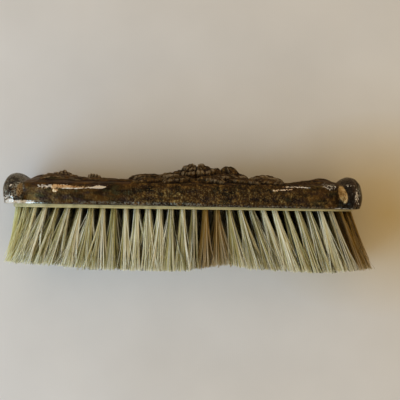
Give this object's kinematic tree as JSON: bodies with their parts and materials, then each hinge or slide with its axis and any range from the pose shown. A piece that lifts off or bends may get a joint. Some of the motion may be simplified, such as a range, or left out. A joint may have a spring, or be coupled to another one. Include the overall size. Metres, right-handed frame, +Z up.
{
  "type": "clothes brush",
  "caption": "Oblong clothes brush with an ornate stamped silver-plate back over a bored wooden board, and rows of splayed, worn pale bristle tufts.",
  "frame": {"origin": "on the table that the brush lies on, under the middle of its bounding box", "axes": "+X along the brush, +Y from the bristle tips to the silver back, +Z up from the table, across the brush, which lies on its side"},
  "size_m": [0.1824, 0.0522, 0.05],
  "materials": {
    "silver_plate": "tarnished silver plate over brass sheet, worn through to copper along the ridges",
    "pitch": "set pitch filling",
    "board_wood": "pale bored beech, sealed and aged",
    "cover_wood": "plain glued board, hidden",
    "brass_wire": "drawn brass wire",
    "bristle": "aged pale natural bristle"
  },
  "bodies": {
    "root": {"bristle_board": "board_wood", "cover_board": "cover_wood", "drawing_wire_inner": "brass_wire", "drawing_wire_outer": "brass_wire", "drawing_wire_second": "brass_wire", "drawing_wire_third": "brass_wire", "pitch_filling": "pitch", "silver_back": "silver_plate", "tufts_inner_back": "bristle", "tufts_inner_front": "bristle", "tufts_outer_back": "bristle", "tufts_outer_front": "bristle", "tufts_second_back": "bristle", "tufts_second_front": "bristle", "tufts_third_back": "bristle", "tufts_third_front": "bristle"}
  },
  "joints": []
}
